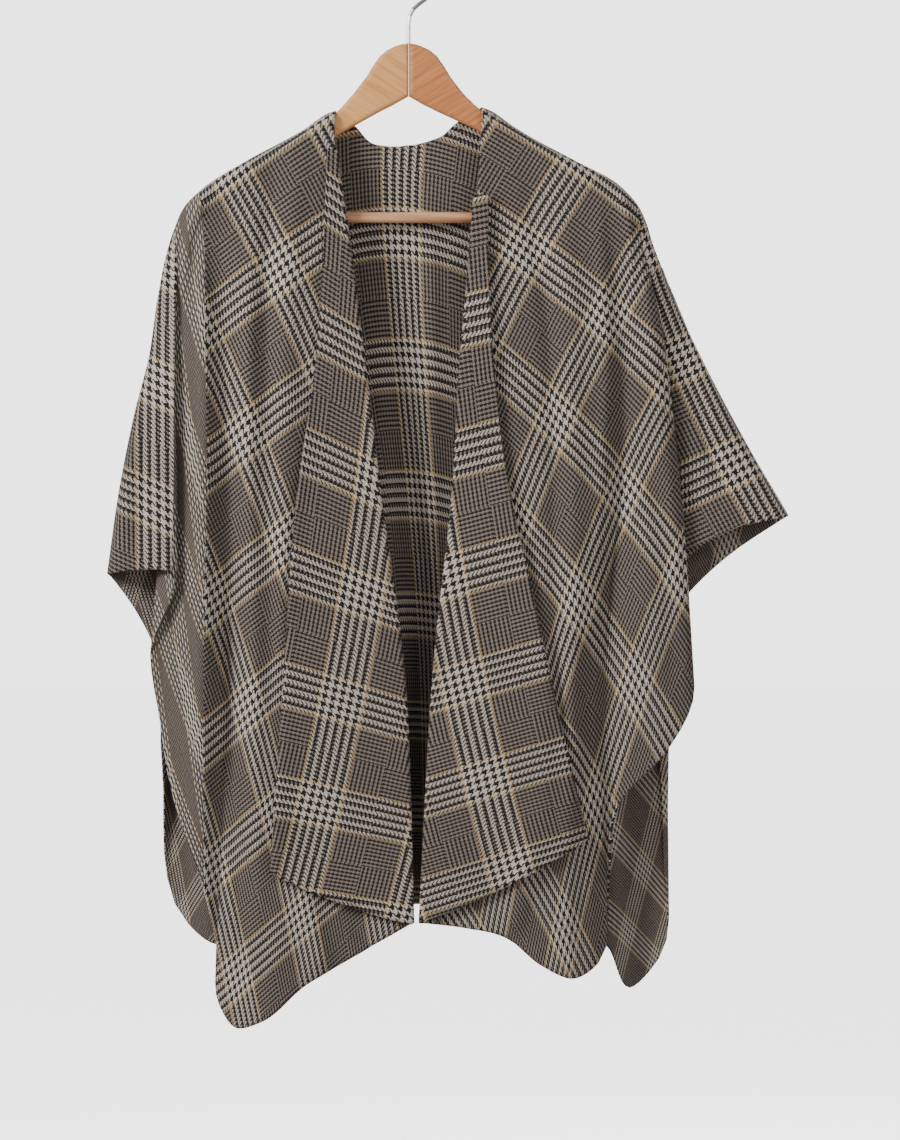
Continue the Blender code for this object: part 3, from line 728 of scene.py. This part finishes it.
def lapel_grid(front, edge_points):
    """A turned-back edge: round the roll from the front's inner edge, then flat over the front."""
    corners = [place(p) for p in front.grid.reshape(-1, 3)]
    wide = front.grid.shape[1]
    faces = [
        (r * wide + c, (r + 1) * wide + c, (r + 1) * wide + c + 1, r * wide + c + 1)
        for r in range(front.rows - 1)
        for c in range(wide - 1)
    ]
    surface = BVHTree.FromPolygons(corners, faces)
    edge_at, edge_length = route(edge_points)
    roll, beside, out = front.grid[:, 0], front.grid[:, BESIDE_ROLL], front.directions[:, 0]
    first = next(r for r in range(front.rows) if roll[r][1] >= edge_points[0][1])
    along = lengths_along(roll[first:])
    grid = []
    for r in range(first, front.rows):
        share = along[r - first] / along[-1]
        edge = edge_at(edge_length * share)
        inwards = roll[r] - beside[r]
        inwards -= out[r] * (inwards @ out[r])
        inwards /= np.linalg.norm(inwards)
        root = roll[r]
        row = []
        for angle in range(0, 181, ROLL_STEP):
            turn = math.radians(angle)
            rise = out[r] * (1 - math.cos(turn))
            row.append(root + ROLL_RADIUS * (inwards * math.sin(turn) + rise))
        for c in range(1, LAPEL_COLUMNS + 1):
            across = c / LAPEL_COLUMNS
            drawn = root[:2] * (1 - across) + edge * across
            drawn[1] += LAPEL_BOW * share * 4 * across * (1 - across)
            lift = 2 * ROLL_RADIUS * (1 - across) + LAPEL_STAND_OFF * across
            hit = surface.ray_cast(place((*drawn, BEFORE_CLOTH)), Vector((0, 1, 0)))[0]
            row.append(np.array([*drawn, lift - hit.y / MM]))
        grid.append(row)
    grid = np.array(grid)
    faced = np.cross(np.gradient(grid, axis=1), np.gradient(grid, axis=0))
    faced /= np.linalg.norm(faced, axis=2, keepdims=True)
    if faced[0, 0] @ out[first] < 0:
        faced = -faced
    faced[:, 0] = out[first:]
    return grid, faced


for side, edge, crossings, flat in (
    ("left", LEFT_LAPEL_EDGE, LEFT_LAPEL_CHECK, (0.10, 0.76)),
    ("right", RIGHT_LAPEL_EDGE, RIGHT_LAPEL_CHECK, (0.10, 0.72)),
):
    grid, faced = lapel_grid(fronts[side], edge)
    piece = cloth_object(f"shawl_{side}_lapel", grid, faced, [(0, check_counts(grid[..., :2], crossings))])
    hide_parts(f"{side}_lapel")
    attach(piece, "root")

# The back: the back half of the same rectangle of wool. It runs from one sleeve's fold over the
# neck edge to the other's, and hangs from the wings behind the fronts, in soft folds.
BACK_ROWS = 150
BACK_COLUMN = 4.0
NECK_EDGE = (
    (335, 111.5),
    (345, 117),
    (356, 126),
    (370, 141),
    (389, 147),
    (408, 144),
    (425, 144),
    (438, 138),
    (455, 123),
    (468, 113),
    (482, 108),
)
BACK = (
    Line("left sleeve fold", -347, None, None, (10, 14), NEAR_FIRST),
    Line("left sleeve", -315, (166, 153, 142, 131), (285, 400, 500, 605), (10, 12, 14, 14), EVEN),
    Line("left sleeve edge", -282, (177, 169, 159, 150), (285, 420, 540, 640), (11, 13, 14, 14), EVEN),
    Line("left side", -260, (186, 178, 170, 161), (280, 440, 620, 765), (12, 14, 15, 16), EVEN),
    Line("left tail", -235, (206, 197, 190, 187), (300, 500, 700, 926), (14, 24, 28, 26), EVEN),
    Line("left valley", -207, (232, 222, 216, 213), (300, 500, 700, 945), (12, 14, 14, 16), EVEN),
    Line("left ridge", -170, (262, 258, 256, 258), (300, 500, 700, 935), (14, 24, 30, 32), EVEN),
    Line("left inner valley", -130, (298, 298, 300, 303), (300, 500, 700, 922), (12, 14, 16, 18), EVEN),
    Line("left of neck", -85, (338, 342, 346, 350), (300, 500, 700, 913), (12, 20, 26, 28), EVEN),
    Line("left neck fold", -38, (380, 381, 383, 386), (300, 480, 700, 908), (11, 12, 14, 16), EVEN),
    Line("middle", 0, (410, 412, 416, 418), (300, 480, 700, 906), (12, 18, 24, 26), EVEN),
    Line("right neck fold", 38, (445, 446, 450, 452), (300, 480, 700, 908), (11, 12, 14, 16), EVEN),
    Line("right of neck", 85, (480, 482, 486, 490), (300, 500, 700, 911), (12, 20, 26, 28), EVEN),
    Line("right inner valley", 130, (524, 528, 530, 532), (300, 500, 700, 918), (12, 14, 16, 18), EVEN),
    Line("right ridge", 170, (560, 565, 568, 570), (300, 500, 700, 930), (14, 24, 30, 32), EVEN),
    Line("right valley", 207, (596, 603, 606, 606), (300, 500, 700, 946), (12, 14, 14, 16), EVEN),
    Line("right tail", 235, (620, 626, 628, 630), (300, 500, 700, 990), (14, 22, 24, 24), EVEN),
    Line("right tail side", 257, (642, 652, 656, 660), (300, 500, 700, 960), (12, 16, 20, 20), EVEN),
    Line("right side", 277, (660, 672, 672, 664), (300, 460, 620, 850), (12, 14, 16, 16), EVEN),
    Line("right sleeve edge", 295, (666, 676, 682, 684), (300, 400, 500, 600), (12, 14, 14, 14), EVEN),
    Line("right sleeve", 318, (682, 702, 716, 724), (320, 420, 500, 560), (11, 13, 14, 14), NEAR_LAST),
    Line("right sleeve fold", 347, None, None, (10, 14), EVEN),
)
BACK_FOLDS = (
    Fold((396, 394, 392), (200, 420, 800), 9, 2.0),
    Fold((430, 432, 436), (200, 420, 800), 8, -2.5),
    Fold((318, 320, 322), (190, 500, 880), 12, -3.0),
    Fold((280, 276, 280), (190, 500, 900), 8, 3.0),
    Fold((236, 240, 238), (230, 520, 900), 8, 3.0),
    Fold((505, 508, 512), (180, 520, 880), 11, 3.0),
    Fold((544, 548, 550), (190, 520, 900), 8, -3.0),
    Fold((584, 586, 590), (210, 520, 900), 9, 3.0),
    Fold((642, 664, 668), (300, 480, 760), 8, -3.0),
)
BACK_CHECK = (
    Crossing(405, 144, 0, 0.07),
    Crossing(404, 250, 0, 1),
    Crossing(414, 369, 0, 2),
    Crossing(429, 480, 0, 3),
    Crossing(432, 592, 0, 4),
    Crossing(434, 704, 0, 5),
    Crossing(434, 880, 0, 6.5),
    Crossing(335, 111.5, -0.65, -0.1),
    Crossing(201, 191, -2.11, -0.1),
    Crossing(159, 295, -3.19, -0.05),
    Crossing(135, 415, -4.33, -0.1),
    Crossing(108, 574, -5.84, 0.2),
    Crossing(345, 250, -0.52, 0.98),
    Crossing(370, 369, -0.39, 1.97),
    Crossing(392, 480, -0.33, 2.97),
    Crossing(301, 243, -1.1, 0.8),
    Crossing(216, 316, -2.4, 0.8),
    Crossing(261, 421, -1.9, 1.8),
    Crossing(205, 506, -3.2, 1.8),
    Crossing(240, 590, -2.6, 2.9),
    Crossing(191, 660, -4.4, 2.8),
    Crossing(227, 804, -4.94, 4.2),
    Crossing(187, 926, -5.6, 5.5),
    Crossing(482, 108, 0.65, -0.1),
    Crossing(620, 187, 2.14, -0.1),
    Crossing(671, 295, 3.27, -0.05),
    Crossing(730, 415, 4.53, -0.1),
    Crossing(788, 516, 5.62, 0.1),
    Crossing(465, 250, 0.53, 0.98),
    Crossing(460, 369, 0.4, 1.97),
    Crossing(468, 480, 0.34, 2.97),
    Crossing(517, 243, 1.1, 0.8),
    Crossing(602, 316, 2.4, 0.8),
    Crossing(557, 421, 1.7, 1.8),
    Crossing(613, 506, 3.2, 1.8),
    Crossing(578, 590, 2.3, 2.9),
    Crossing(637, 660, 4.4, 2.8),
    Crossing(653, 846, 5, 5),
    Crossing(625, 942, 5, 6),
)
left_at, left_length = route(LEFT_CREST)
right_at, right_length = route(RIGHT_CREST)
neck_at, neck_length = route(NECK_EDGE)


def back_top(where):
    """The back's top edge at a place along it: the left crest, the neck edge and the right crest."""
    if where <= -NECK_HALF:
        return left_at(-where - NECK_HALF)
    if where >= NECK_HALF:
        return right_at(where - NECK_HALF)
    return neck_at((where + NECK_HALF) / (2 * NECK_HALF) * neck_length)


back_ends = (-left_length - NECK_HALF, right_length + NECK_HALF)
back = Panel(BACK, BACK_FOLDS, back_top, back_ends, BACK_ROWS, BACK_COLUMN, -1)
back_map = check_counts(back.woven_places(), BACK_CHECK)
piece = cloth_object("shawl_back", back.grid, back.directions, [(0, back_map)])
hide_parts("back_cloth")
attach(piece, "root")

# The studio: a pale floor below the hem, a pale surround, and three soft lights. The camera sees a
# brighter surround than the one that lights the cloth.
FLOOR_UP = -1.5
FLOOR_WIDE = 60
FLOOR_GLOW = 2.6
SEEN_STRENGTH = 3.2
SOFT_STRENGTH = 0.42
LIT_POINT = (0, 0, -0.55)
bpy.ops.mesh.primitive_plane_add(size=FLOOR_WIDE, location=(0, 0, FLOOR_UP))
floor = bpy.context.object
floor.name = "floor"
ground = Graph("floor_paint")
ground.shader.inputs["Base Color"].default_value = (0.9, 0.9, 0.9, 1)
ground.shader.inputs["Roughness"].default_value = 0.9
ground.shader.inputs["Emission Color"].default_value = (1, 1, 1, 1)
ground.shader.inputs["Emission Strength"].default_value = FLOOR_GLOW
floor.visible_diffuse = False
floor.visible_glossy = False
floor.data.materials.append(ground.material)

world = bpy.data.worlds.new("studio")
bpy.context.scene.world = world
world.use_nodes = True
seen = world.node_tree.nodes["Background"]
seen.inputs[1].default_value = SEEN_STRENGTH
soft = world.node_tree.nodes.new("ShaderNodeBackground")
soft.inputs[1].default_value = SOFT_STRENGTH
for background in (seen, soft):
    background.inputs[0].default_value = (1.0, 1.0, 1.0, 1.0)
path = world.node_tree.nodes.new("ShaderNodeLightPath")
either = world.node_tree.nodes.new("ShaderNodeMixShader")
world.node_tree.links.new(path.outputs["Is Camera Ray"], either.inputs[0])
world.node_tree.links.new(soft.outputs[0], either.inputs[1])
world.node_tree.links.new(seen.outputs[0], either.inputs[2])
world.node_tree.links.new(either.outputs[0], world.node_tree.nodes["World Output"].inputs[0])

for name, where, size, power in (
    ("key_light", (-2.4, -1.7, 0.8), 1.1, 110),
    ("fill_light", (2.0, -2.8, 0.4), 2.0, 34),
    ("back_light", (1.2, 2.6, 0.8), 1.6, 70),
):
    lamp = bpy.data.lights.new(name, "AREA")
    lamp.size = size
    lamp.energy = power
    light = bpy.data.objects.new(name, lamp)
    light.location = where
    light.rotation_euler = (Vector(LIT_POINT) - Vector(where)).to_track_quat("-Z", "Y").to_euler()
    bpy.context.scene.collection.objects.link(light)
